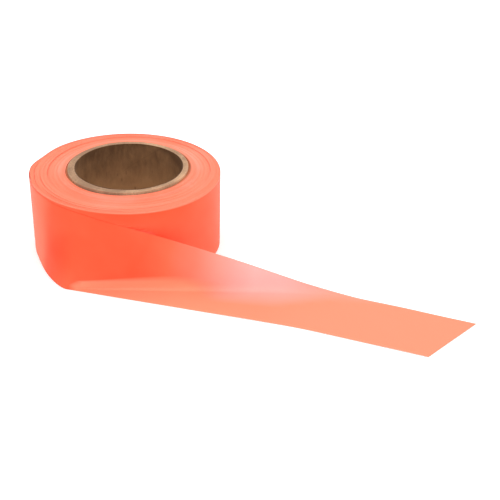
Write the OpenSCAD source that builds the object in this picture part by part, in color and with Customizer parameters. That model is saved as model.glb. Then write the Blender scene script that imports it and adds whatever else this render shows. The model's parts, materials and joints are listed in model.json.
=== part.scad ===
// Roll of flagging tape on a spiral-wound cardboard core, standing on its side face, with its
// loose end pulled out along +X.
// The origin is on the core's axis at the surface the roll stands on, and +Z points up the axis.

/* [Tape] */
// Width of the tape
tape_w = 30; // [28:0.5:36]
// Thickness given to a single free layer of tape
film_t = 0.3; // [0.2:0.05:0.4]

/* [Core] */
// Inside diameter of the core
core_bore_d = 41.3; // [38:0.1:42]
// Length of the core
core_l = 32; // [30:0.5:40]
// Thickness of the smooth paper liner in the bore
liner_t = 0.3; // [0.2:0.05:0.4]
// Thickness of each board ply
ply_t = 0.5; // [0.3:0.05:0.55]
// Thickness of the brown kraft paper wrapped outside
kraft_t = 0.8; // [0.3:0.05:0.9]
// Height of the brown kraft paper, which stops short of the core's end
kraft_l = 31.2; // [29:0.1:32]

/* [Wound tape] */
// Outside radius of the tightly wound turns
pack_r = 31.3; // [30:0.1:31.5]
// Number of bands the tightly wound turns have slipped into
bands = 5; // [5:1:5]
// How much higher the innermost band stands than the outermost one
telescope = 1.1; // [0:0.1:1.5]
// Width of the adhesive strip that starts the tape on the core
starter_w = 12; // [6:1:20]
// Thickness of the adhesive strip
starter_t = 0.2; // [0.1:0.05:0.2]

/* [Loose turns] */
// Outside radius of the loose turns at their upper rim
rim_r = 36.6; // [36:0.1:38]
// Outside radius of the loose turns where they stand on the surface
foot_r = 35.6; // [34.5:0.1:35.9]
// How far the loose turns have slipped sideways
slip = 2.6; // [0:0.1:2.8]
// Direction in which they have slipped, in degrees from +X
slip_azimuth = -96; // [-110:1:-85]

/* [Tail] */
// How far the lower edge stands out from the roll where the tape peels off
flare = 8.1; // [5:0.1:9.5]
// Azimuth at which the lower edge begins to stand out
flare_azimuth = -140; // [-150:1:-130]
// Azimuth at which the lower edge peels off
peel_azimuth = -94.2; // [-97:0.1:-92]
// Azimuth at which the upper edge is level with that point
rim_azimuth = -89.9; // [-92:0.1:-87]
// Angle between the lower edge and +X where it leaves the roll
heading = 6; // [4:0.1:8]
// Distance along the tape at which the upper edge comes down to the surface
touchdown = 94; // [90:1:97]
// Half the length over which the upper edge settles there
settle = 12; // [10:1:14]
// Distance at which the lower edge begins to turn in line with +X
turn_start = 84; // [78:1:84]
// Distance over which it turns
turn_l = 16; // [12:1:16]
// Length of the flat stretch before the tip
flat_l = 18; // [15:1:40]
// Length of the tip, along its near edge
tip_l = 18.5; // [15:0.5:40]
// How much further the cut end reaches at its far edge
cut_skew = 7.2; // [0:0.1:12]

/* [Hidden] */

$fn = 180;
run_gap = 0.05;     // clearance between the tight turns and the loose turns that slip round them
film_gap = 0.3;     // space between the outermost loose turn and the turn that peels off it
hinge_gap = 0.2;    // space between stretches of tape that bend at a joint
cell = 3;           // size of the cells that the curved tape is built from
peeling_l = 45;     // how much of the last turn is modelled as a layer of its own
flare_ease = 1.3;   // how gently the lower edge reaches its full flare
droop = 1.2;        // how much steeper the upper edge runs as it comes down, 1 for an even slope

board = "tan";
kraft = "saddlebrown";
tight_tape = "tomato";
loose_tape = "salmon";
adhesive = "ivory";

core_bore_r = core_bore_d / 2;
plies = 4;
board_r = core_bore_r + liner_t;
board_out_r = board_r + plies * ply_t;
core_r = board_out_r + kraft_t;
band_t = (pack_r - core_r) / bands;

// Axis of the slipped outer turns, and the radius of the turn that peels off them
slip_at = slip * [cos(slip_azimuth), sin(slip_azimuth)];
turn_r = rim_r + film_gap;
turn_foot_r = foot_r + film_gap;

// ---------- plain helpers ----------

function clamp01(x) = min(1, max(0, x));
function unit(v) = v / norm(v);
function on_turn(r, azimuth) = slip_at + r * [cos(azimuth), sin(azimuth)];
function arc_angle(distance, r) = distance / r * 180 / PI;

// ---------- the tape where it leaves the roll ----------
// s is the distance along the tape from the peel point, and t the distance up from its lower edge.

along = [cos(heading), sin(heading)];
across = [-sin(heading), cos(heading)];
peel = on_turn(turn_foot_r + flare, peel_azimuth);

// Height at which an upper edge sits above its lower edge when they are apart in plan
function standing(lower, upper) = sqrt(pow(tape_w, 2) - pow(norm(upper - lower), 2));

rim_at_peel = on_turn(turn_r, rim_azimuth);
peel_height = standing(peel, rim_at_peel);

// Before the peel point the tape is straight from a lower edge that stands out to the rim
function lower_radius(azimuth) =
    let (way = clamp01((azimuth - flare_azimuth) / (peel_azimuth - flare_azimuth)))
    turn_foot_r + flare * (1 - pow(1 - way * way, flare_ease));
function on_roll(s, t) =
    let (
        low_azimuth = peel_azimuth + arc_angle(s, turn_foot_r + flare / 2),
        lower = on_turn(lower_radius(low_azimuth), low_azimuth),
        upper = on_turn(turn_r, rim_azimuth + arc_angle(s, turn_r)),
        point = lower + t / tape_w * (upper - lower)
    )
    [point.x, point.y, t / tape_w * standing(lower, upper)];

// After it the upper edge hugs the roll, lifts off along a tangent and runs down to the surface
function floor_upper(distance) = peel + distance * along + tape_w * across;
landing = floor_upper(touchdown);
landing_reach = norm(landing - slip_at);
liftoff_azimuth = atan2(landing.y - slip_at.y, landing.x - slip_at.x) - acos(turn_r / landing_reach);
hug_l = turn_r * (liftoff_azimuth - rim_azimuth) * PI / 180;
straight_l = sqrt(pow(landing_reach, 2) - pow(turn_r, 2));
upper_l = hug_l + straight_l;
liftoff = on_turn(turn_r, liftoff_azimuth);

function upper_path(distance) =
    let (
        w = distance * upper_l / touchdown,
        on_arc = on_turn(turn_r, rim_azimuth + arc_angle(w, turn_r)),
        on_line = liftoff + (w - hug_l) / straight_l * (landing - liftoff),
        plan = w < hug_l ? on_arc : distance < touchdown ? on_line : floor_upper(distance),
        height = peel_height * (1 - pow(clamp01(w / upper_l), droop))
    )
    [plan.x, plan.y, height];

// A parabola rounds the corner that the upper edge makes where it lands
function upper_edge(distance) =
    let (
        k = (distance - touchdown + settle) / (2 * settle),
        before = upper_path(touchdown - settle),
        after = upper_path(touchdown + settle)
    )
    k <= 0 || k >= 1 ? upper_path(distance)
    : pow(1 - k, 2) * before + 2 * k * (1 - k) * upper_path(touchdown) + k * k * after;

// Straight lines fan out from the peel point to the upper edge, as on a paper cone
function fan(s, t) =
    let (foot = [peel.x, peel.y, 0], flat = peel + s * along)
    t < cell / 100 ? [flat.x, flat.y, 0]
    : foot + t / tape_w * (upper_edge(s * tape_w / t) - foot);

// The flat tape then turns in line with +X round a large circle
turn_radius = turn_l / (heading * PI / 180);
function turned(p) =
    let (
        offset = [p.x, p.y] - peel,
        reach = offset * along,
        side = offset * across,
        done = clamp01((reach - turn_start) / turn_l),
        angle = heading - heading * done,
        centre = peel + turn_start * along - turn_radius * across,
        beyond = max(0, reach - turn_start - turn_l),
        arc = centre + (turn_radius + side) * [-sin(angle), cos(angle)] + [beyond, 0]
    )
    reach < turn_start ? p : [arc.x, arc.y, p.z];

function tape_point(s, t) = s < 0 ? on_roll(s, t) : turned(fan(s, t));
twist_l = touchdown + settle;
twist_end = tape_point(twist_l, 0);

// Direction in which the tape's outer face looks
function tape_normal(s, t) =
    let (
        d = cell / 10,
        low = max(0, t - d),
        high = min(tape_w, t + d),
        forward = tape_point(s + d, t) - tape_point(s, t),
        upward = tape_point(s, high) - tape_point(s, low)
    )
    unit(cross(forward, upward));

// ---------- solids ----------

module tube(inner_r, outer_r, height) {
    difference() {
        cylinder(r = outer_r, h = height);
        translate([0, 0, -1]) cylinder(r = inner_r, h = height + 2);
    }
}

// A curved stretch of tape from one distance to another, as thick as one layer
module tape_sheet(from, to) {
    columns = ceil((to - from) / cell);
    rows = ceil(tape_w / cell);
    lift = [0, 0, film_t / 2];
    function grid(side) = [
        for (i = [0:columns], j = [0:rows])
            let (s = from + (to - from) * i / columns, t = tape_w * j / rows)
            tape_point(s, t) + lift + side * film_t / 2 * tape_normal(s, t)
    ];
    count = (columns + 1) * (rows + 1);
    function at(i, j) = i * (rows + 1) + j;
    function pair(a, b, c, d) = [[a, b, c], [a, c, d]];
    outer_face = [
        for (i = [0:columns - 1], j = [0:rows - 1])
            each pair(at(i, j), at(i, j + 1), at(i + 1, j + 1), at(i + 1, j))
    ];
    inner_face = [for (f = outer_face) [f[0] + count, f[2] + count, f[1] + count]];
    long_edges = [
        for (i = [0:columns - 1], j = [0, rows])
            let (a = at(i, j), b = at(i + 1, j))
            each (j == 0 ? pair(a, b, b + count, a + count) : pair(b, a, a + count, b + count))
    ];
    cut_edges = [
        for (j = [0:rows - 1], i = [0, columns])
            let (a = at(i, j), b = at(i, j + 1))
            each (i == 0 ? pair(b, a, a + count, b + count) : pair(a, b, b + count, a + count))
    ];
    polyhedron(
        points = concat(grid(1), grid(-1)),
        faces = concat(outer_face, inner_face, long_edges, cut_edges),
        convexity = 6
    );
}

module core_liner() color(board) tube(core_bore_r, board_r, core_l);

module core_ply(number) color(board)
    tube(board_r + (number - 1) * ply_t, board_r + number * ply_t, core_l);

module core_kraft_wrap() color(kraft) tube(board_out_r, core_r, kraft_l);

// The strip is a short arc of adhesive let into the innermost turns
module starter_strip() color(adhesive) intersection() {
    translate([0, 0, telescope]) tube(core_r, core_r + starter_t, tape_w);
    translate([0, -starter_w / 2, 0]) cube([pack_r, starter_w, 2 * tape_w]);
}

// Each band is a group of turns that has slipped up a little further than the one outside it
module wound_band(number) color(tight_tape) {
    inner = core_r + (number - 1) * band_t;
    difference() {
        translate([0, 0, telescope * (bands - number) / (bands - 1)])
            tube(inner, inner + band_t, tape_w);
        if (number == 1) starter_strip();
    }
}

// The loose turns lie in three groups that have slipped further sideways the further out they are
module slack_cone(number, margin) {
    share = number / 3;
    inner_r = pack_r + run_gap;
    translate([slip_at.x, slip_at.y, 0] * share)
        translate([0, 0, -margin])
            cylinder(
                r1 = inner_r + (foot_r - inner_r) * share - margin * (rim_r - foot_r) / tape_w * share,
                r2 = inner_r + (rim_r - inner_r) * share + margin * (rim_r - foot_r) / tape_w * share,
                h = tape_w + 2 * margin
            );
}

module loose_turns(number) color(loose_tape) difference() {
    slack_cone(number, 0);
    slack_cone(number - 1, 1);
}

module peeling_turn() color(loose_tape) tape_sheet(-peeling_l, -hinge_gap / 2);

module tail_twist() color(loose_tape) tape_sheet(hinge_gap / 2, twist_l);

// Beyond the twist the tape lies flat, in line with +X
module tail_flat() color(loose_tape)
    translate(twist_end + [hinge_gap, 0, 0]) cube([flat_l - hinge_gap, tape_w, film_t]);

module tail_tip() color(loose_tape)
    translate(twist_end + [flat_l + hinge_gap, 0, 0]) linear_extrude(film_t)
        polygon([
            [0, 0], [tip_l - hinge_gap, 0], [tip_l - hinge_gap + cut_skew, tape_w], [0, tape_w]
        ]);

core_liner();
core_ply(1);  // core_ply_1
core_ply(2);  // core_ply_2
core_ply(3);  // core_ply_3
core_ply(4);  // core_ply_4
core_kraft_wrap();
starter_strip();
wound_band(1);  // wound_band_1
wound_band(2);  // wound_band_2
wound_band(3);  // wound_band_3
wound_band(4);  // wound_band_4
wound_band(5);  // wound_band_5
loose_turns(1);  // loose_turns_1
loose_turns(2);  // loose_turns_2
loose_turns(3);  // loose_turns_3
peeling_turn();
tail_twist();
tail_flat();
tail_tip();
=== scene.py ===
"""A roll of flagging tape with its end pulled out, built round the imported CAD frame.

Lengths are in metres and angles in radians, in the frame's axes: +Z up the core's axis and +X along the
flat tail.
"""

import json
import math

import bpy
import numpy as np
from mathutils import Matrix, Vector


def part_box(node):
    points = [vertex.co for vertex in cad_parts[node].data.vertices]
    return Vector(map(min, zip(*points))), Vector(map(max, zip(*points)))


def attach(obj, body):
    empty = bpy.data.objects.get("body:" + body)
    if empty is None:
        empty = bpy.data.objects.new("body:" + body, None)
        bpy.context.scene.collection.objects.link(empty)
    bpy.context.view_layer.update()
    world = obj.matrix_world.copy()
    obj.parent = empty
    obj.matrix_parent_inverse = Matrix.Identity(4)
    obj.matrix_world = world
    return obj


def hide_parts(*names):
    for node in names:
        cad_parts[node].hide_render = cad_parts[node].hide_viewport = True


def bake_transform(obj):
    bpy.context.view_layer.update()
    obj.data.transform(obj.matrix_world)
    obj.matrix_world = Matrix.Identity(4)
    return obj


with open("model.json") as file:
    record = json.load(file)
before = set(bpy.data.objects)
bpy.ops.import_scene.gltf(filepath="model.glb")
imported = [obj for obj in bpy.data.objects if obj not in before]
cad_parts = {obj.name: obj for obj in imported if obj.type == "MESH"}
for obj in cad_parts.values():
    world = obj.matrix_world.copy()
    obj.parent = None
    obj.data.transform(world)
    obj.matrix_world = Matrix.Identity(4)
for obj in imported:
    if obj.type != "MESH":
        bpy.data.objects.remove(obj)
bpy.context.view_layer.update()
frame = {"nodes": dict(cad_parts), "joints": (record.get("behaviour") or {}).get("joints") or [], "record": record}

MM = 0.001

# ---------- sizes from the frame ----------

TAPE_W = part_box("tail_flat")[1].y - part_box("tail_flat")[0].y
BORE_R = frame["record"]["mounts"][0]["dims"]["r_mm"] * MM
CORE_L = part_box("core_liner")[1].z
LINER_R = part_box("core_liner")[1].x
BOARD_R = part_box("core_ply_4")[1].x
CORE_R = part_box("core_kraft_wrap")[1].x
KRAFT_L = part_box("core_kraft_wrap")[1].z
PACK_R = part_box("wound_band_5")[1].x
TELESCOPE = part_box("wound_band_1")[0].z
PEEL = np.array(frame["joints"][1]["pos_m"][:2])

# ---------- the shape of the free tape --------------------------------------

RIM_R = 36.6 * MM
FOOT_R = 35.6 * MM
FILM_GAP = 0.06 * MM
TURN_R = RIM_R + FILM_GAP
TURN_FOOT_R = FOOT_R + FILM_GAP
SLIP_AZIMUTH = math.radians(-96)
SLIP_AT = 2.6 * MM * np.array([math.cos(SLIP_AZIMUTH), math.sin(SLIP_AZIMUTH)])
FLARE = float(np.hypot(*(PEEL - SLIP_AT))) - TURN_FOOT_R
FLARE_AZIMUTH = math.radians(-140)
FLARE_EASE = 1.3
PEEL_AZIMUTH = math.atan2(*(PEEL - SLIP_AT)[::-1])
RIM_AZIMUTH = math.radians(-89.9)
HEADING = math.radians(6)
TOUCHDOWN = 94 * MM
DROOP = 1.2
SETTLE = 12 * MM
TURN_START = 84 * MM
TURN_L = 16 * MM
TAIL_L = 142.5 * MM
CUT_SKEW = 7.2 * MM
FILM_T = 0.05 * MM
FILM_LIFT = 0.1 * MM
RIDGE_T = 0.11 * MM
RING_SHARE = 0.96
FILM_TURNS = 3
# Where the outermost turns have slipped up: azimuth, half width and how far
SLIPPED_UP = (math.radians(-105), math.radians(80), 0.9 * MM)
# Where the core's wall has opened up at its top: azimuth, half width and how far
OPENED = (math.radians(-110), math.radians(95), 1.15 * MM)

ALONG = np.array([math.cos(HEADING), math.sin(HEADING)])
ACROSS = np.array([-math.sin(HEADING), math.cos(HEADING)])


def smooth(x):
    """Rises from 0 to 1 as x does, level at both ends."""
    c = np.clip(x, 0, 1)
    return c * c * (3 - 2 * c)


def angle_past(azimuth, start):
    """The angle from a start round to an azimuth, from -pi to pi."""
    return (azimuth - start + math.pi) % (2 * math.pi) - math.pi


def near(azimuth, middle, half_width):
    """1 at the middle, falling smoothly to 0 half_width to either side of it."""
    return smooth(1 - np.abs(angle_past(azimuth, middle)) / half_width)


def polar(r, azimuth):
    return np.stack([r * np.cos(azimuth), r * np.sin(azimuth)], -1)


def on_turn(r, azimuth):
    return SLIP_AT + polar(r, azimuth)


def with_height(plan, z):
    return np.concatenate([plan, np.broadcast_to(z, plan.shape[:-1])[..., None]], -1)


def standing(lower, upper):
    """How high an upper edge sits above a lower edge that is away from it in plan."""
    return np.sqrt(TAPE_W**2 - ((upper - lower) ** 2).sum(-1))


# Where the loose turns are out of round: azimuth, half width, and how far out at the rim and at the foot
CORNERS = (
    (math.radians(-161), math.radians(17), 0.75 * MM, 0.0),
    (math.radians(-173), math.radians(24), -0.65 * MM, 0.0),
    (math.radians(20), math.radians(45), 0.05 * MM, 0.6 * MM),
    (math.radians(130), math.radians(85), -0.45 * MM, 0.0),
)


def corner(azimuth, height_share):
    """How far the outermost loose turn stands out of round at an azimuth and a share of its height."""
    out = 0
    for middle, half_width, at_rim, at_foot in CORNERS:
        out = out + near(azimuth, middle, half_width) * (at_foot + height_share * (at_rim - at_foot))
    return out


def slipped_up(azimuth):
    """How far the outermost loose turns have slipped up, on the side they also slipped out to."""
    middle, half_width, height = SLIPPED_UP
    return height * near(azimuth, middle, half_width)


def on_roll(s, share):
    """The turn that peels off, s before the peel point, at a share of the way up from its lower edge."""
    low_azimuth = PEEL_AZIMUTH + s / (TURN_FOOT_R + FLARE / 2)
    way = np.clip((low_azimuth - FLARE_AZIMUTH) / (PEEL_AZIMUTH - FLARE_AZIMUTH), 0, 1)
    flared = 1 - (1 - way**2) ** FLARE_EASE
    lower = on_turn(TURN_FOOT_R + FLARE * flared, low_azimuth)
    rim_azimuth = RIM_AZIMUTH + s / TURN_R
    upper = on_turn(TURN_R + corner(rim_azimuth, 1.0), rim_azimuth)
    return with_height(lower + share[..., None] * (upper - lower), share * standing(lower, upper))


def floor_upper(distance):
    return PEEL + distance[..., None] * ALONG + TAPE_W * ACROSS


PEEL_HEIGHT = float(standing(PEEL, on_turn(TURN_R, RIM_AZIMUTH)))
LANDING = floor_upper(np.array(TOUCHDOWN)) - SLIP_AT
LANDING_REACH = float(np.hypot(*LANDING))
LIFTOFF_AZIMUTH = math.atan2(LANDING[1], LANDING[0]) - math.acos(TURN_R / LANDING_REACH)
HUG_L = TURN_R * (LIFTOFF_AZIMUTH - RIM_AZIMUTH)
STRAIGHT_L = math.sqrt(LANDING_REACH**2 - TURN_R**2)
UPPER_L = HUG_L + STRAIGHT_L


def upper_height(w):
    return PEEL_HEIGHT * (1 - np.clip(w / UPPER_L, 0, 1) ** DROOP)


def against_wall(w):
    """Radius at which the upper edge touches the turn behind it, which narrows towards its foot."""
    return TURN_R - (TURN_R - TURN_FOOT_R) * (PEEL_HEIGHT - upper_height(w)) / TAPE_W


def upper_path(distance):
    """The upper edge as it hugs the roll, lifts off along a tangent, runs down and lies on the floor."""
    w = (distance * UPPER_L / TOUCHDOWN)[..., None]
    hugging = on_turn(against_wall(w[..., 0]), RIM_AZIMUTH + w[..., 0] / TURN_R)
    liftoff = on_turn(against_wall(HUG_L), LIFTOFF_AZIMUTH)
    running = liftoff + (w - HUG_L) / STRAIGHT_L * (LANDING + SLIP_AT - liftoff)
    plan = np.where(w < HUG_L, hugging, np.where(w < UPPER_L, running, floor_upper(distance)))
    return with_height(plan, upper_height(w[..., 0]))


def upper_edge(distance):
    """The upper path with the corner where it lands rounded by a parabola."""
    k = ((distance - TOUCHDOWN + SETTLE) / (2 * SETTLE))[..., None]
    before, landing, after = (upper_path(np.array(TOUCHDOWN + d)) for d in (-SETTLE, 0, SETTLE))
    rounded = (1 - k) ** 2 * before + 2 * k * (1 - k) * landing + k**2 * after
    return np.where((k <= 0) | (k >= 1), upper_path(distance), rounded)


def fan(s, share):
    """Straight lines fan out from the peel point to the upper edge, as on a paper cone."""
    foot = with_height(PEEL, np.array(0.0))
    share = np.maximum(share, 1e-6)
    return foot + share[..., None] * (upper_edge(s / share) - foot)


def turned(p):
    """The flat tape's plan turns in line with +X round a large circle."""
    offset = p[..., :2] - PEEL
    reach, side = offset @ ALONG, offset @ ACROSS
    radius = TURN_L / HEADING
    angle = HEADING * (1 - np.clip((reach - TURN_START) / TURN_L, 0, 1))
    centre = PEEL + TURN_START * ALONG - radius * ACROSS
    beyond = np.maximum(0, reach - TURN_START - TURN_L)
    plan = centre + (radius + side)[..., None] * np.stack([-np.sin(angle), np.cos(angle)], -1)
    plan[..., 0] += beyond
    return np.where((reach < TURN_START)[..., None], p, with_height(plan, p[..., 2]))


def tape_point(s, share):
    return np.where((s < 0)[..., None], on_roll(s, share), turned(fan(s, share)))


# ---------- meshes ----------


def piece(name, points, faces, body, material, attributes=()):
    """A smooth-shaded mesh that rides on a body, with named values at its points for its material."""
    mesh = bpy.data.meshes.new(name)
    mesh.from_pydata(points.tolist(), [], faces)
    mesh.update()
    for key, values in attributes:
        mesh.attributes.new(key, "FLOAT", "POINT").data.foreach_set("value", values.astype(np.float32))
    obj = bpy.data.objects.new(name, mesh)
    bpy.context.scene.collection.objects.link(obj)
    mesh.materials.append(material)
    mesh.shade_smooth()
    mesh.set_sharp_from_angle(angle=math.radians(50))
    if body:
        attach(obj, body)
    return obj


def grid_faces(columns, rows, first=0, flip=False, closed=False):
    """Quads over a grid of points that runs column by column."""
    faces = []
    for i in range(columns if closed else columns - 1):
        j = (i + 1) % columns
        for k in range(rows - 1):
            quad = (i * rows + k, j * rows + k, j * rows + k + 1, i * rows + k + 1)
            faces.append(tuple(first + v for v in (quad[::-1] if flip else quad)))
    return faces


def film(name, middle, normal, body, material, attributes):
    """A film FILM_T thick about a grid of points (columns, rows, 3), with its cut edges closed."""
    columns, rows = middle.shape[:2]
    count = columns * rows
    shift = normal * FILM_T / 2
    points = np.concatenate([(middle + shift).reshape(-1, 3), (middle - shift).reshape(-1, 3)])
    faces = grid_faces(columns, rows) + grid_faces(columns, rows, first=count, flip=True)
    rim = [i * rows for i in range(columns)]
    rim += [(columns - 1) * rows + k for k in range(1, rows)]
    rim += [i * rows + rows - 1 for i in range(columns - 2, -1, -1)]
    rim += [k for k in range(rows - 2, 0, -1)]
    faces += [(b, a, a + count, b + count) for a, b in zip(rim, rim[1:] + rim[:1])]
    doubled = [(key, np.concatenate([v.reshape(-1)] * 2)) for key, v in attributes]
    return piece(name, points, faces, body, material, doubled)


def grid_normals(points):
    """The outward direction at each point of a grid that runs along the tape, then up across it."""
    along = np.gradient(points, axis=0)
    up = np.gradient(points, axis=1)
    n = np.cross(along, up)
    return n / np.linalg.norm(n, axis=-1, keepdims=True)


def turned_solid(name, profiles, body, material):
    """A closed ring from a profile for each azimuth: an array (azimuths, points, 2) of radius and height."""
    azimuths, count = profiles.shape[:2]
    angles = np.linspace(0, 2 * math.pi, azimuths, endpoint=False)[:, None]
    r, z = profiles[..., 0], profiles[..., 1]
    points = np.stack([r * np.cos(angles), r * np.sin(angles), z], -1).reshape(-1, 3)
    faces = grid_faces(azimuths, count, closed=True)
    for i in range(azimuths):
        j = (i + 1) % azimuths
        faces.append((i * count + count - 1, j * count + count - 1, j * count, i * count))
    return piece(name, points, faces, body, material)


# ---------- materials ----------


def put(tree, kind, inputs=None, **settings):
    """Adds a node, with each input given a value or another node's output."""
    node = tree.nodes.new("ShaderNode" + kind)
    for key, value in settings.items():
        setattr(node, key, value)
    for key, value in (inputs or {}).items():
        if isinstance(value, bpy.types.NodeSocket):
            tree.links.new(value, node.inputs[key])
        else:
            node.inputs[key].default_value = value
    return node


def ramp(tree, factor, stops):
    """A colour ramp from (position, colour) stops."""
    node = put(tree, "ValToRGB", {"Fac": factor})
    node.color_ramp.interpolation = "LINEAR"
    elements = node.color_ramp.elements
    while len(elements) < len(stops):
        elements.new(0.5)
    for element, (position, colour) in zip(elements, stops):
        element.position = position
        element.color = (*colour, 1)
    return node.outputs["Color"]


def spread(tree, value, low, high, to_low=0.0, to_high=1.0):
    """value carried from low..high to to_low..to_high."""
    node = put(
        tree,
        "MapRange",
        {"Value": value, "From Min": low, "From Max": high, "To Min": to_low, "To Max": to_high},
    )
    return node.outputs["Result"]


def noise(tree, vector, scale, detail=3.0, roughness=0.5):
    return put(
        tree, "TexNoise", {"Vector": vector, "Scale": scale, "Detail": detail, "Roughness": roughness}
    ).outputs["Fac"]


def maths(tree, operation, a, b=0.0, c=0.0):
    return put(tree, "Math", {0: a, 1: b, 2: c}, operation=operation).outputs[0]


def blend_colour(tree, factor, a, b):
    return put(tree, "Mix", {0: factor, 6: a, 7: b}, data_type="RGBA", blend_type="MIX").outputs[2]


def new_material(name):
    material = bpy.data.materials.new(name)
    material.use_nodes = True
    material.node_tree.nodes.clear()
    return material, material.node_tree


def finish_material(tree, surface):
    put(tree, "OutputMaterial", {"Surface": surface})


def object_coordinates(tree):
    return put(tree, "TexCoord").outputs["Object"]


def bump(tree, height, distance, strength=1.0):
    return put(
        tree, "Bump", {"Height": height, "Distance": distance, "Strength": strength}
    ).outputs["Normal"]


def shade_along(tree, place, direction, low, high, at_low, at_high):
    """A value that goes from at_low to at_high as a place moves along a direction."""
    distance = put(tree, "VectorMath", {0: place, 1: direction}, operation="DOT_PRODUCT").outputs["Value"]
    return spread(tree, distance, low, high, at_low, at_high)


STACKED = (1.0, 0.104, 0.039)
EDGE_ON = (1.0, 0.260, 0.148)
# The film's colour on the roll, and as it stands further and further clear of it. The paler colours are
# painted light, the light that a single layer lets through from behind it.
ON_ROLL = 0.08
# Painted sheen and light through the loose film along the left side of the roll: how much paler the free end is
# before it peels, and the last stretch of the outermost turns
END_PAINTED_SHEEN = 0.14
FILM_COLOURS = [
    (0.0, (1.0, 0.070, 0.020)),
    (0.08, STACKED),
    (0.21, (1.0, 0.160, 0.074)),
    (0.38, (1.0, 0.235, 0.150)),
    (0.60, (1.0, 0.375, 0.300)),
    (0.80, (1.0, 0.480, 0.435)),
    (1.0, (1.0, 0.570, 0.540)),
]
# A single layer near the floor, from beside the roll to the open floor
SINGLE_COLOURS = [(0.0, (1.0, 0.340, 0.200)), (0.4, (1.0, 0.375, 0.220)), (0.8, (1.0, 0.325, 0.185))]
# Share of the light that a layer of film lets through
THROUGH = 0.12
# A cut edge of the film
PALE_CUT = (0.95, 0.42, 0.27, 1)
# How much paler the outermost turns are than ON_ROLL, and where round the roll they are paler still, with
# a painted sheen on the right side, and deeper still, with painted shade on the front above the tail:
# azimuth, half width and how much
TURN_PALE = 0.02
TURN_PAINTED_LIGHT_AND_SHADE = ((math.radians(10), 1.1, 0.07), (math.radians(-62), 0.75, -0.05))
# Painted light that lifts the shade on the turns at their foot beside the tail, fading towards their rim:
# azimuth, half width and how much
FOOT_PAINTED_LIGHT = (math.radians(-50), 0.8, 0.18)
# How much light through the tail brightens the turn just behind its upper edge, and the tail there
BEHIND_TAIL_PALE = 0.26
LEAVING_PALE = 0.05
# Painted shade: how much deeper the lower corner is where the film bends away from the roll
CORNER_PAINTED_SHADE = 0.13


def film_material():
    """Fluorescent film, deep orange-red on the roll and paler where a single layer lets light through.

    The paleness is painted light in its colour, from the clearance and near_floor values; the translucent
    share adds a little real light through.
    """
    material, tree = new_material("fluorescent_film")
    clearance = put(tree, "Attribute", attribute_name="clearance").outputs["Fac"]
    near_floor = put(tree, "Attribute", attribute_name="near_floor").outputs["Fac"]
    along = put(tree, "Attribute", attribute_name="along").outputs["Fac"]
    over = put(tree, "Attribute", attribute_name="over").outputs["Fac"]
    place = put(tree, "CombineXYZ", {"X": along, "Y": over, "Z": 0.0}).outputs[0]
    cloud = noise(tree, place, 60.0, 2.0)
    tone = maths(tree, "ADD", clearance, spread(tree, cloud, 0.3, 0.7, -0.02, 0.02))
    colour = ramp(tree, tone, FILM_COLOURS)
    single = ramp(tree, spread(tree, along, 10 * MM, 90 * MM), SINGLE_COLOURS)
    colour = blend_colour(tree, spread(tree, near_floor, 0.0, 1.0), colour, single)
    to_edge = maths(tree, "ABSOLUTE", maths(tree, "SUBTRACT", over, TAPE_W / 2))
    edge = spread(tree, to_edge, TAPE_W / 2 - 0.6 * MM, TAPE_W / 2 - 0.1 * MM)
    pale = put(tree, "Attribute", attribute_name="pale_edge").outputs["Fac"]
    colour = blend_colour(tree, maths(tree, "MULTIPLY", edge, pale), colour, PALE_CUT)
    grain = noise(tree, place, 2600.0, 2.0)
    drawn = put(tree, "Mapping", {"Vector": place, "Scale": (40.0, 1500.0, 1.0)}).outputs[0]
    lines = noise(tree, drawn, 1.0, 2.0)
    relief = maths(tree, "ADD", maths(tree, "MULTIPLY", grain, 0.5), lines)
    rough = spread(tree, grain, 0.3, 0.7, 0.42, 0.54)
    skin = put(
        tree,
        "BsdfPrincipled",
        {
            "Base Color": colour,
            "Roughness": rough,
            "Specular IOR Level": 0.15,
            "Sheen Weight": 0.08,
            "Sheen Roughness": 0.25,
            "Sheen Tint": (1.0, 0.80, 0.72, 1),
            "Normal": bump(tree, relief, 0.02 * MM, 0.5),
        },
    ).outputs[0]
    through = put(tree, "BsdfTranslucent", {"Color": colour}).outputs[0]
    finish_material(tree, put(tree, "MixShader", {0: THROUGH, 1: skin, 2: through}).outputs[0])
    return material


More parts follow.
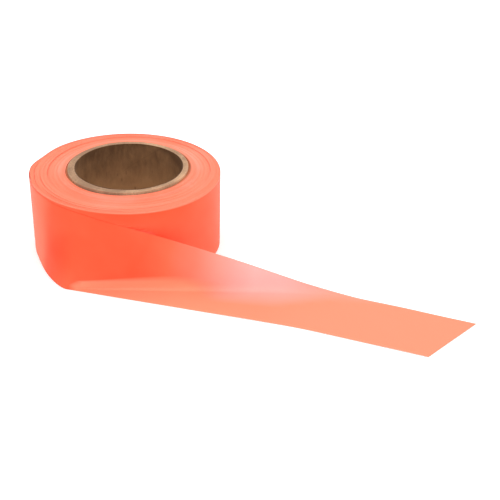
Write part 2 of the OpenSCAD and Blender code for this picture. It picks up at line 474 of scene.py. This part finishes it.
def stacked_edges_material():
    """The side of the wound tape: hundreds of cut edges in rings."""
    material, tree = new_material("stacked_tape_edges")
    place = object_coordinates(tree)
    split = put(tree, "SeparateXYZ", {"Vector": place})
    flat = put(tree, "CombineXYZ", {"X": split.outputs[0], "Y": split.outputs[1], "Z": 0.0}).outputs[0]
    radius = put(tree, "VectorMath", {0: flat}, operation="LENGTH").outputs["Value"]
    ring_place = put(tree, "CombineXYZ", {"X": radius, "Y": 0.0, "Z": 0.0}).outputs[0]
    rings = noise(tree, ring_place, 2600.0, 4.0, 0.7)
    wide_rings = noise(tree, ring_place, 420.0, 2.0)
    cloud = noise(tree, place, 45.0, 3.0)
    tone = maths(tree, "ADD", maths(tree, "MULTIPLY", wide_rings, 0.6), maths(tree, "MULTIPLY", cloud, 0.4))
    # Painted shade: darker towards the left of the roll, as the light falls
    tone = maths(tree, "ADD", tone, shade_along(tree, place, (0.9, 0.42, 0), -34 * MM, -20 * MM, -0.10, 0.0))
    # Painted shade: darker towards the front left
    tone = maths(tree, "ADD", tone, shade_along(tree, place, (-0.45, -0.89, 0), 22 * MM, 36 * MM, 0.0, -0.12))
    # Painted light: lighter within 7 mm of the core, lifting the shade there
    tone = maths(tree, "ADD", tone, spread(tree, radius, CORE_R, CORE_R + 7 * MM, 0.12, 0.0))
    colour = ramp(
        tree, tone, [(0.35, (1.0, 0.225, 0.115)), (0.5, EDGE_ON), (0.65, (1.0, 0.345, 0.235))]
    )
    groove = spread(tree, rings, 0.3, 0.7, 0.0, 0.35)
    colour = blend_colour(tree, groove, colour, (1.0, 0.22, 0.12, 1))
    # A narrow darker brown ring just outside the core
    dark_by_core = spread(tree, radius, CORE_R + 0.25 * MM, CORE_R + 0.6 * MM, 0.9, 0.0)
    colour = blend_colour(tree, dark_by_core, colour, (0.60, 0.17, 0.075, 1))
    skin = put(
        tree,
        "BsdfPrincipled",
        {
            "Base Color": colour,
            "Roughness": spread(tree, rings, 0.3, 0.7, 0.5, 0.65),
            "Specular IOR Level": 0.35,
            "Normal": bump(tree, rings, 0.05 * MM, 0.5),
        },
    ).outputs[0]
    finish_material(tree, skin)
    return material


def paper_material(name, dark, light, fleck, fibre_scale, roughness, contrast=1.0, shade=None, seam=None):
    """Paper or board: cloudy tone, short fibres and flecks, with a fibrous surface.

    shade holds the values of shade_along that darken it to one side. seam is the pitch of a seam wound
    round the tube and the height at which it crosses the X axis.
    """
    material, tree = new_material(name)
    place = object_coordinates(tree)
    stretched = put(tree, "Mapping", {"Vector": place, "Scale": (1.0, 1.0, 0.35)}).outputs[0]
    cloud = noise(tree, place, 90.0, 4.0)
    fibres = noise(tree, stretched, fibre_scale, 6.0, 0.65)
    tone = maths(tree, "ADD", maths(tree, "MULTIPLY", cloud, 0.65), maths(tree, "MULTIPLY", fibres, 0.35))
    tone = spread(tree, tone, 0.0, 1.0, 0.5 - contrast / 2, 0.5 + contrast / 2)
    height = fibres
    if shade:
        tone = maths(tree, "ADD", tone, shade_along(tree, place, *shade))
    if seam:
        pitch, start = seam
        split = put(tree, "SeparateXYZ", {"Vector": place})
        turn = maths(tree, "ARCTAN2", split.outputs[1], split.outputs[0])
        wound = maths(tree, "MULTIPLY_ADD", turn, pitch / (2 * math.pi), -start)
        side = maths(tree, "PINGPONG", maths(tree, "ADD", split.outputs[2], wound), pitch / 2)
        line = spread(tree, side, 0.15 * MM, 0.45 * MM, 0.012, 0.0)
        tone = maths(tree, "SUBTRACT", tone, line)
        height = maths(tree, "SUBTRACT", fibres, maths(tree, "MULTIPLY", line, 20.0))
    colour = ramp(tree, tone, [(0.38, dark), (0.62, light)])
    flecks = put(
        tree, "TexVoronoi", {"Vector": stretched, "Scale": fibre_scale * 0.6}, feature="F1"
    ).outputs["Distance"]
    speck = spread(tree, flecks, 0.10, 0.17, 0.6, 0.0)
    colour = blend_colour(tree, speck, colour, (*fleck, 1))
    skin = put(
        tree,
        "BsdfPrincipled",
        {
            "Base Color": colour,
            "Roughness": spread(tree, fibres, 0.3, 0.7, roughness - 0.08, roughness + 0.08),
            "Specular IOR Level": 0.25,
            "Normal": bump(tree, height, 0.06 * MM, 0.8),
        },
    ).outputs[0]
    finish_material(tree, skin)
    return material


FILM = film_material()
EDGES = stacked_edges_material()
LINER = paper_material(
    "bore_liner_paper",
    (0.098, 0.043, 0.016),
    (0.405, 0.212, 0.094),
    (0.19, 0.10, 0.048),
    700.0,
    0.75,
    contrast=0.4,
    # Lighter towards the foot of the bore and darker towards its mouth
    shade=((0, 0, 1), 12 * MM, 32 * MM, 0.135, -0.12),
    seam=(92 * MM, 52 * MM),
)
BOARD = paper_material(
    "core_board",
    (0.34, 0.20, 0.120),
    (0.68, 0.42, 0.250),
    (0.26, 0.15, 0.08),
    1400.0,
    0.85,
    # Painted shade: the board's rim is darker to the left and lighter to the right, as the light falls
    shade=((0.9, 0.42, 0), -22 * MM, 22 * MM, -0.13, 0.05),
)
KRAFT = paper_material(
    "kraft_paper", (0.40, 0.115, 0.045), (0.58, 0.175, 0.072), (0.26, 0.09, 0.04), 900.0, 0.8
)
GLUE = paper_material(
    "dried_adhesive", (0.80, 0.76, 0.66), (0.88, 0.85, 0.77), (0.70, 0.65, 0.55), 500.0, 0.45
)


def wander(x, *terms):
    """A sum of slow sine waves, each given as (height, waves per unit, phase)."""
    return sum(height * np.sin(rate * x + phase) for height, rate, phase in terms)


# ---------- the core ----------


def opened(azimuth):
    """How far the core's wall has opened up at its top, on one side."""
    middle, half_width, distance = OPENED
    return distance * near(azimuth, middle, half_width)


def core_pieces():
    azimuths = 240
    angles = np.linspace(0, 2 * math.pi, azimuths, endpoint=False)

    def ring(inner, outer, foot, top, edge, follows=(0, 0)):
        """A tube's profile at each azimuth, its upper and lower edges rounded.

        follows is the share of the opening in the core's wall that its inner and outer faces follow.
        """
        steps = 5
        quarter = np.linspace(0, math.pi / 2, steps)
        r = [outer - edge + edge * np.cos(quarter), inner + edge - edge * np.sin(quarter)]
        z = [-edge + edge * np.sin(quarter), -edge + edge * np.cos(quarter)]
        r_up, z_up = np.concatenate(r), np.concatenate(z)
        shape = np.zeros((azimuths, 4 * steps, 2))
        shape[..., 0] = np.concatenate([r_up, r_up[::-1]])
        shape[:, :steps, 0] += follows[1] * opened(angles)[:, None]
        shape[:, steps : 2 * steps, 0] += follows[0] * opened(angles)[:, None]
        shape[:, : 2 * steps, 1] = top[:, None] + z_up
        shape[:, 2 * steps :, 1] = foot - z_up[::-1]
        return shape

    top = CORE_L + wander(angles, (0.04 * MM, 3, 0.4), (0.03 * MM, 7, 2.0)) - 0.06 * MM
    liner = turned_solid(
        "core_liner_paper", ring(BORE_R, LINER_R, 0.0, top, 0.1 * MM), "roll", LINER
    )
    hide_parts("core_liner")
    ply_t = (BOARD_R - LINER_R) / 4
    for n in range(4):
        lift = wander(angles, (0.05 * MM, 2 + n, n), (0.04 * MM, 9 - n, 1.7 * n), (0.02 * MM, 23, n))
        inner = LINER_R + n * ply_t
        ply = turned_solid(
            f"core_board_ply_{n + 1}",
            ring(inner, inner + ply_t, 0.0, CORE_L - 0.1 * MM + lift, 0.14 * MM, (n / 4, (n + 1) / 4)),
            "roll",
            BOARD,
        )
        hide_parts(f"core_ply_{n + 1}")
    torn = KRAFT_L - 0.3 * MM + wander(angles, (0.12 * MM, 2, 1.0), (0.08 * MM, 5, 0.3), (0.05 * MM, 17, 2.0))
    wrap = turned_solid(
        "core_kraft_paper",
        ring(BOARD_R, CORE_R - 0.05 * MM, 0.0, torn, 0.2 * MM, (1, 1)),
        "roll",
        KRAFT,
    )
    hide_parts("core_kraft_wrap")


# ---------- rings of wound turns ----------

LAYER_GAP = 0.004 * MM


def ridged_ring(name, edges, height, body):
    """A ring of layers, from the radii between them at top and foot and how far each has slipped up."""
    azimuths, layers = height.shape
    stood = np.repeat(height, 2, axis=1)
    top_r, foot_r = (
        np.stack([edge[:, :-1] + LAYER_GAP, edge[:, 1:] - LAYER_GAP], -1).reshape(azimuths, -1)
        for edge in edges
    )
    profile = np.zeros((azimuths, 4 * layers, 2))
    profile[..., 0] = np.concatenate([top_r[:, ::-1], foot_r], 1)
    profile[:, : 2 * layers, 1] = TAPE_W + stood[:, ::-1]
    profile[:, 2 * layers :, 1] = np.maximum(stood, 0.02 * MM)
    return turned_solid(name, profile, body, EDGES)


def ragged(draw, layers, step):
    """How far each of many layers stands out, wandering from one to the next and level at both ends."""
    steps = np.cumsum(draw.normal(0, step, layers))
    return steps - np.linspace(steps[0], steps[-1], layers) + draw.normal(0, 0.02 * MM, layers)


def wound_pack():
    """The tight turns, each layer at its own height and higher towards the core, where they slipped up."""
    angles = np.linspace(0, 2 * math.pi, 180, endpoint=False)[:, None]
    layers = int((PACK_R - CORE_R) / RIDGE_T)
    number = np.arange(layers)
    share = np.arange(layers + 1) / layers
    inner_at_top, inner_at_foot = CORE_R + opened(angles), CORE_R + 0 * angles
    edges = [inner + (PACK_R - inner) * share for inner in (inner_at_top, inner_at_foot)]
    slipped = TELESCOPE * (1 - smooth(number / layers))
    tilt = 0.05 * MM * np.sin(angles + number * 0.11) + 0.03 * MM * np.sin(3 * angles - number * 0.37)
    height = slipped + ragged(np.random.default_rng(7), layers, 0.035 * MM) + tilt
    height[:, :3] = np.maximum(height[:, :3], TELESCOPE + 0.05 * MM)
    pack = ridged_ring("tight_turns", edges, height, "roll")
    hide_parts(*(f"wound_band_{n}" for n in range(1, 6)))


# ---------- the loose turns, the peeling turn and the tail ----------

ROLL_S = -45 * MM
BLEND_S = -30 * MM
ROOT_S = 50 * MM
MIDDLE_S = 117 * MM

# Layers that have sunk and leave an open slit on the slipped side: number, depth and half its angle
SLITS = (
    (9, 0.5 * MM, 0.6),
    (17, 1.2 * MM, 0.9),
    (24, 0.7 * MM, 0.5),
    (30, 1.6 * MM, 1.1),
    (35, 0.8 * MM, 0.7),
)


def loose_radius(share, height_share):
    """Radius of a loose turn about its own axis, for how far out it lies and a share of its height."""
    inner = PACK_R + 0.1 * MM
    return inner + share * (FOOT_R - inner + height_share * (RIM_R - FOOT_R))


def reach(share, height_share, azimuth):
    """Distance from the core's axis to a loose turn, whose own axis has slipped by its share."""
    slip = share * np.hypot(*SLIP_AT)
    towards = slip * np.cos(azimuth - SLIP_AZIMUTH)
    r = loose_radius(share, height_share) + corner(azimuth, height_share) * share
    return towards + np.sqrt(r**2 - slip**2 + towards**2)


def loose_ring():
    """The loose turns that lie against each other, a ring that is widest on the side they slipped to."""
    angles = np.linspace(0, 2 * math.pi, 180, endpoint=False)[:, None]
    layers = 40
    share = RING_SHARE * np.arange(layers + 1) / layers
    edges = [reach(share, height_share, angles) for height_share in (1.0, 0.0)]
    number = np.arange(layers)
    tilt = 0.06 * MM * np.sin(angles + number * 0.13 + 1) + 0.03 * MM * np.sin(3 * angles - number * 0.3)
    height = 0.16 * MM + ragged(np.random.default_rng(11), layers, 0.03 * MM) + tilt
    height = height + slipped_up(angles) * smooth(number / layers * 4 - 3)
    away = np.abs(angle_past(angles, SLIP_AZIMUTH))[:, 0]
    for layer, depth, half_angle in SLITS:
        height[:, layer] -= depth * smooth(1.3 - away / half_angle)
    ring = ridged_ring("loose_turns", edges, height, "last_turns")
    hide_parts("loose_turns_1", "loose_turns_2", "loose_turns_3")


def tape_columns():
    """Distances along the tape at which the free end has a column of points."""
    fine_from = 100 * MM
    return np.concatenate(
        [
            np.arange(ROLL_S, -0.5 * MM, 1 * MM),
            np.arange(0, fine_from - 0.5 * MM, 1 * MM),
            np.arange(fine_from, TAIL_L - 0.25 * MM, 0.5 * MM),
            [TAIL_L],
        ]
    )


def tape_rows(s):
    """Shares of the way across at each column, closer together where the crease crosses the column."""
    s = np.clip(s, 6 * MM, TAIL_L)
    before = np.minimum(s / (TOUCHDOWN + SETTLE), 0.86)
    after = np.minimum(s / (TOUCHDOWN - SETTLE), 0.94)
    knots = np.stack([0 * s, before, after, 0 * s + 1], -1)
    counts = (8, 12, 12)
    shares = []
    for k, count in enumerate(counts):
        fraction = np.arange(count) / count
        shares.append(knots[:, k : k + 1] + fraction * (knots[:, k + 1] - knots[:, k])[:, None])
    return np.concatenate([*shares, np.ones((len(s), 1))], 1)


def free_end_colours(skewed, share, points):
    """How clear of the roll the film stands and how near the floor it is, as its material takes them."""
    from_roll = np.hypot(*(points[..., :2] - SLIP_AT).transpose(2, 0, 1))
    wall = TURN_FOOT_R + (TURN_R - TURN_FOOT_R) * points[..., 2] / TAPE_W
    # Painted light: paler the further the film stands clear of the roll
    clearance = ON_ROLL + np.clip((from_roll - wall - 2.5 * MM) / (27.5 * MM), 0, 1)
    # Painted shade in the lower corner where the film bends away from the roll
    corner_s = smooth(1 - np.abs(skewed + 4 * MM) / (18 * MM))
    clearance -= CORNER_PAINTED_SHADE * corner_s * smooth(1.6 - 2 * share)
    # Painted sheen and light through the loose film before it peels
    clearance += END_PAINTED_SHEEN * smooth((-12 * MM - skewed) / (9 * MM))
    clearance += LEAVING_PALE * share**4 * smooth(1 - np.abs(skewed - 23 * MM) / (14 * MM))
    # Painted light: the single layer is painted pale near the floor, as the white floor's light through it
    # would make it. The line where it turns pale lies at one height beside the roll and at one angle from
    # the peel point further along. The value crosses 0.5 on that line, and the material clips it to 0 and 1.
    further = smooth((skewed - 34 * MM) / (26 * MM))
    line_height = (3 + 1.2 * smooth(skewed / (36 * MM))) * MM
    fade = (0.9 + 2.4 * smooth(skewed / (40 * MM))) * MM
    by_height = (line_height - points[..., 2]) / fade
    line_angle = np.radians(14 + 6 * smooth((skewed - 75 * MM) / (25 * MM)))
    by_angle = (line_angle - np.arctan2(share * TAPE_W, skewed)) / math.radians(12)
    near_floor = np.clip((1 - further) * by_height + further * by_angle + 0.5, -4, 4)
    near_floor = np.minimum(near_floor, (skewed - 1 * MM) / (3 * MM))
    near_floor = np.minimum(near_floor, 1 - 0.12 * (1 - further) * smooth(points[..., 2] / MM))
    return clearance, near_floor


def free_end():
    """The last turn from ROLL_S on and the tail, as points, outward directions and material values."""
    s = tape_columns()
    share = tape_rows(s)
    skewed = np.repeat(s[:, None], share.shape[1], 1)
    cut = smooth((skewed - (TAIL_L - 34 * MM)) / (34 * MM)) * CUT_SKEW * share
    skewed = skewed + cut
    points = tape_point(skewed, share)
    normal = grid_normals(points)
    clearance, near_floor = free_end_colours(skewed, share, points)
    ripple = 0.05 * MM * np.sin(skewed / (9 * MM)) + 0.04 * MM * np.sin(skewed / (5 * MM) + 9 * share)
    ripple = (ripple + 0.09 * MM) * smooth((skewed - 20 * MM) / (30 * MM))
    points[..., 2] += FILM_LIFT + ripple
    pale_edge = 0.3 * smooth((skewed - 30 * MM) / (30 * MM))
    return s, points, normal, {
        "clearance": clearance,
        "near_floor": near_floor,
        "pale_edge": pale_edge,
        "along": skewed,
        "over": share * TAPE_W,
    }


def outermost_colours(back, azimuth, rows):
    """How pale each point of the outermost turns is, back before their end and at a share of their height."""
    behind = np.clip(back % (2 * math.pi), 0, 1.2) / 1.2
    # Painted sheen and light through the film on the last stretch of the turns
    pale = TURN_PALE + END_PAINTED_SHEEN * smooth(1 - behind)
    # Painted sheen on the right side and painted shade on the front above the tail
    for middle, half_width, amount in TURN_PAINTED_LIGHT_AND_SHADE:
        pale = pale + amount * near(azimuth, middle, half_width)
    past_rim = angle_past(azimuth, RIM_AZIMUTH)
    covered = upper_height(TURN_R * np.clip(past_rim, 0, 0.9)) - rows * TAPE_W
    open_here = smooth((past_rim - 0.25) / 0.2) * smooth((0.80 - past_rim) / 0.18)
    just_below = smooth((covered - 0.5 * MM) / (1.5 * MM)) * smooth((6 * MM - covered) / (3 * MM))
    pale = pale + BEHIND_TAIL_PALE * open_here * just_below
    # Painted light at the foot beside the tail
    middle, half_width, amount = FOOT_PAINTED_LIGHT
    return ON_ROLL + pale + amount * near(azimuth, middle, half_width) * (1 - rows**2)


def outermost_turns(start):
    """The outermost loose turns as one spiral that ends at the points start, the free end's first column."""
    per_turn = 120
    rows = np.array([0.0, 0.02, 0.25, 0.5, *np.arange(0.65, 0.99, 0.03), 1.0])
    start_rows = np.linspace(0, 1, start.shape[0])
    start = np.stack([np.interp(rows, start_rows, start[:, k]) for k in range(3)], -1)
    end_azimuth = math.atan2(*start[-1, 1::-1])
    back = np.linspace(FILM_TURNS * 2 * math.pi, 0, FILM_TURNS * per_turn + 1)[:, None]
    azimuth = end_azimuth - back
    lowest = RING_SHARE + 0.013
    share = 1 - (1 - lowest) * np.clip((back - math.pi * 1.6) / (2 * math.pi * (FILM_TURNS - 1)), 0, 1)
    last = FILM_GAP * smooth(1 - back / (math.pi * 1.6))
    plan = polar(reach(share, rows, azimuth) + last, azimuth + 0 * rows)
    shift = wander(back, (0.10 * MM, 0.23, 1.0), (0.07 * MM, 0.61, 2.0), (0.05 * MM, 1.7, 0.5))
    shift = (shift + 0.16 * MM + slipped_up(azimuth)) * smooth(back / math.pi)
    points = with_height(plan, rows * TAPE_W + FILM_LIFT + shift)
    settle = smooth(1 - back / 0.5)[..., None]
    points = points + settle * (start - points[-1])
    values = {
        "clearance": outermost_colours(back, azimuth, rows),
        "near_floor": np.full(points.shape[:2], -4.0),
        "pale_edge": 0.5 * smooth(back / 1.5) + 0 * rows,
        "along": ROLL_S - back * RIM_R + 0 * rows,
        "over": rows * TAPE_W + 0 * back,
    }
    return points, grid_normals(points), values


def tape_pieces():
    s, points, normal, values = free_end()

    def stretch(first, last):
        chosen = (s > first - 0.1 * MM) & (s < last + 0.1 * MM)
        return points[chosen], normal[chosen], [(key, v[chosen]) for key, v in values.items()]

    wound, wound_normal, wound_values = outermost_turns(points[0])
    outer = film(
        "outermost_turns", wound, wound_normal, "last_turns", FILM, wound_values.items()
    )

    turn_points, turn_normal, turn_values = stretch(ROLL_S, BLEND_S)
    turn = film(
        "peeling_turn_film", turn_points, turn_normal, "last_turns", FILM, turn_values
    )

    joints = {joint["name"]: joint for joint in frame["joints"]}

    def across_joint(name, first, last, joint, nodes):
        """A stretch of film between two distances past the joint, which takes the place of the given parts."""
        hinge = joints[joint]
        middle, outward, at_points = stretch(first, last)
        made = film(name, middle, outward, None, FILM, at_points)
        axis = np.array(hinge["axis"])
        direction = np.array([*ALONG, 0.0]) if joint == "peel" else np.array([1.0, 0.0, 0.0])
        direction = direction - (direction @ axis) * axis
        direction = direction / np.linalg.norm(direction)
        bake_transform(made)
        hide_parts(*nodes)

    across_joint("peel_bend", BLEND_S, ROOT_S, "peel", ["peeling_turn"])
    across_joint("twist_and_flat", ROOT_S, MIDDLE_S, "lift", ["tail_twist", "tail_flat"])
    across_joint("flat_and_tip", MIDDLE_S, TAIL_L, "curl", ["tail_tip"])


core_pieces()
wound_pack()
loose_ring()
tape_pieces()

strip = frame["nodes"]["starter_strip"]
strip.data.materials.clear()
strip.data.materials.append(GLUE)

# ---------- studio ----------


def studio():
    scene = bpy.context.scene
    material, tree = new_material("studio_floor")
    speckle = noise(tree, object_coordinates(tree), 40.0, 2.0)
    skin = put(
        tree,
        "BsdfPrincipled",
        {
            "Base Color": ramp(tree, speckle, [(0.4, (0.945, 0.945, 0.945)), (0.6, (0.955, 0.955, 0.955))]),
            "Roughness": 0.9,
            "Specular IOR Level": 0.0,
            "Emission Color": (1, 1, 1, 1),
            "Emission Strength": 0.25,
        },
    ).outputs[0]
    finish_material(tree, skin)
    bpy.ops.mesh.primitive_plane_add(size=8, location=(0, 0, -0.05 * MM))
    floor = bpy.context.active_object
    floor.name = "studio_floor"
    floor.data.materials.append(material)

    world = bpy.data.worlds.new("studio")
    world.use_nodes = True
    world.node_tree.nodes["Background"].inputs["Color"].default_value = (1, 1, 1, 1)
    world.node_tree.nodes["Background"].inputs["Strength"].default_value = 1.25
    scene.world = world

    camera = bpy.data.objects.new("camera", bpy.data.cameras.new("camera"))
    scene.collection.objects.link(camera)
    camera.data.sensor_width = 36
    camera.data.lens = 158.4
    camera.location = (0.3664, -0.6771, 0.3920)
    camera.rotation_euler = (math.radians(62.71), 0, math.radians(24.94))
    scene.camera = camera
    scene.view_settings.view_transform = "Standard"
    scene.cycles.max_bounces = 24
    scene.cycles.diffuse_bounces = 16
    scene.cycles.transmission_bounces = 16


studio()
